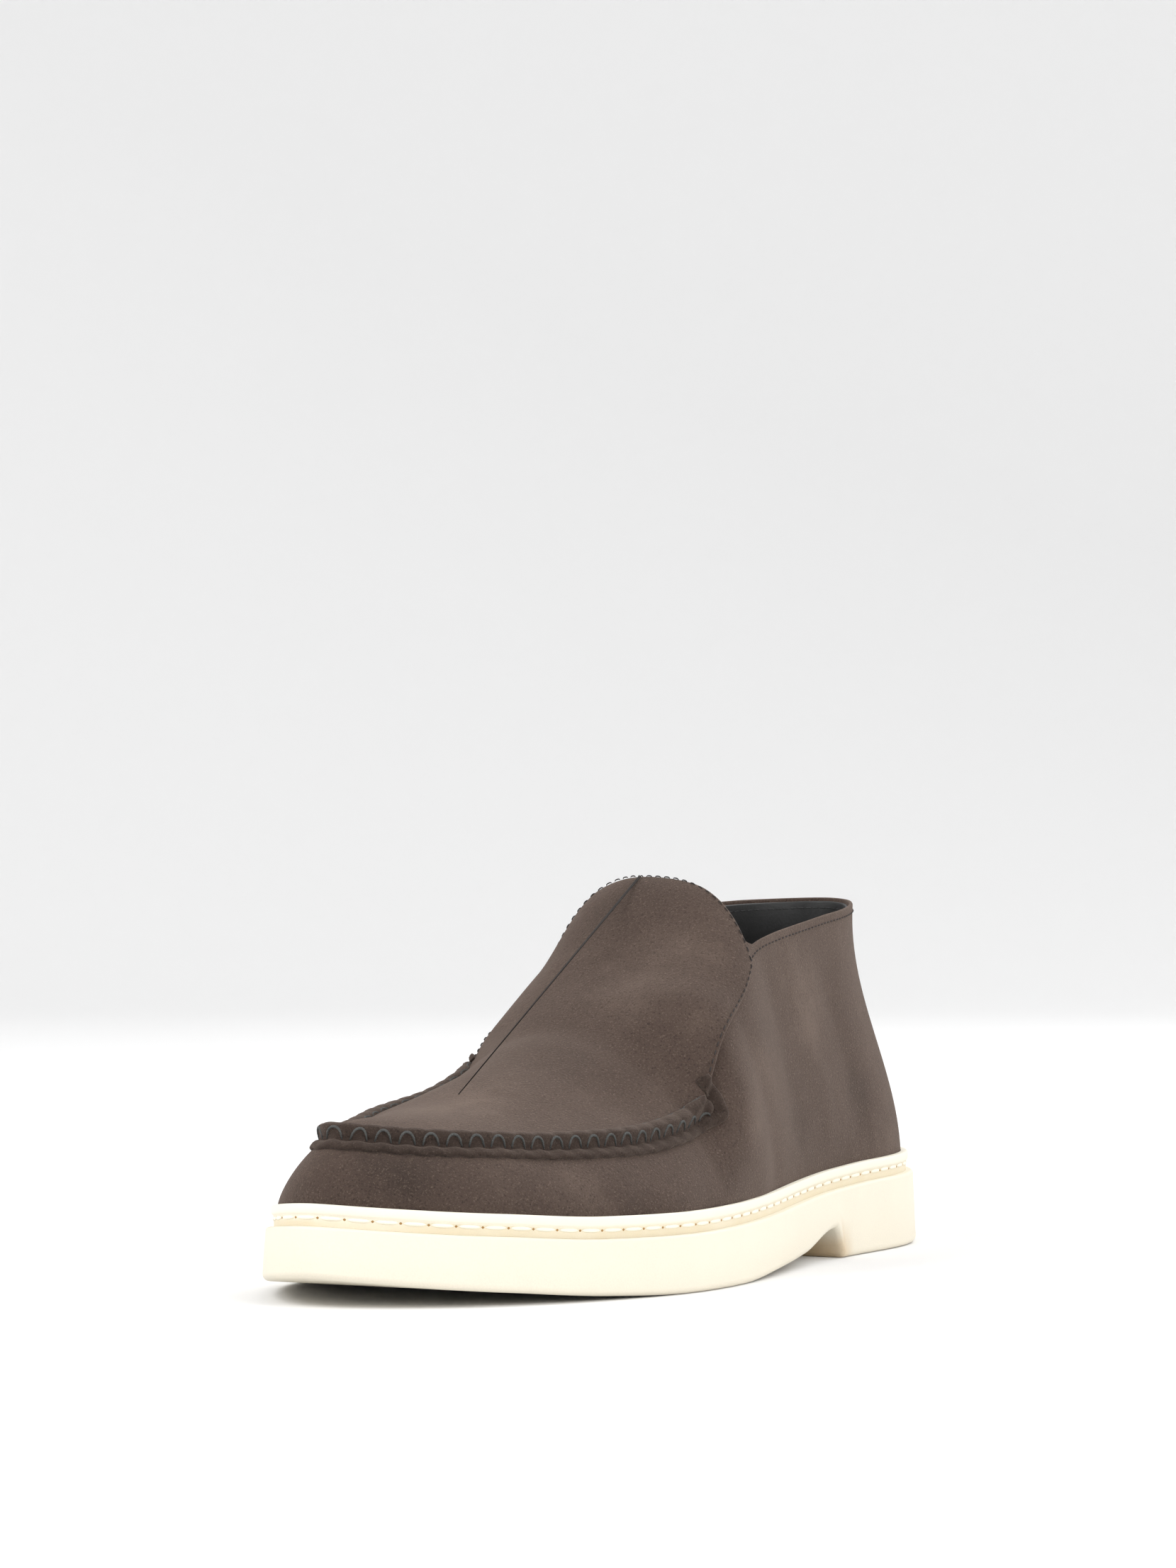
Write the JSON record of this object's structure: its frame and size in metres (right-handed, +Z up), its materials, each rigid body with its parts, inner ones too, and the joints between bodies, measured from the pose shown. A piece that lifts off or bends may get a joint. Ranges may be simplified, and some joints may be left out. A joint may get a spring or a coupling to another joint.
{
  "type": "loafer",
  "caption": "Ankle-high slip-on loafer in suede with a moccasin apron running up into a tall tongue, on a thick rubber sole with a stitched welt.",
  "frame": {"origin": "middle of the bounding box, on the plane that the sole stands on", "axes": "+Z up, toe towards -Y, heel towards +Y, lateral side of this left shoe towards +X"},
  "size_m": [0.1138, 0.3, 0.1114],
  "materials": {
    "cream_rubber": "matt cream rubber with a fine moulded grain",
    "welt_rubber": "matt cream rubber with a beige stitched band",
    "lining_leather": "smooth black leather",
    "brown_suede": "dark brown suede, mottled nap"
  },
  "bodies": {
    "root": {"outsole": "cream_rubber", "welt": "welt_rubber", "insole": "lining_leather", "upper": "brown_suede", "apron": "brown_suede", "moc_seam": "brown_suede", "heel_stay": "brown_suede"}
  },
  "joints": []
}
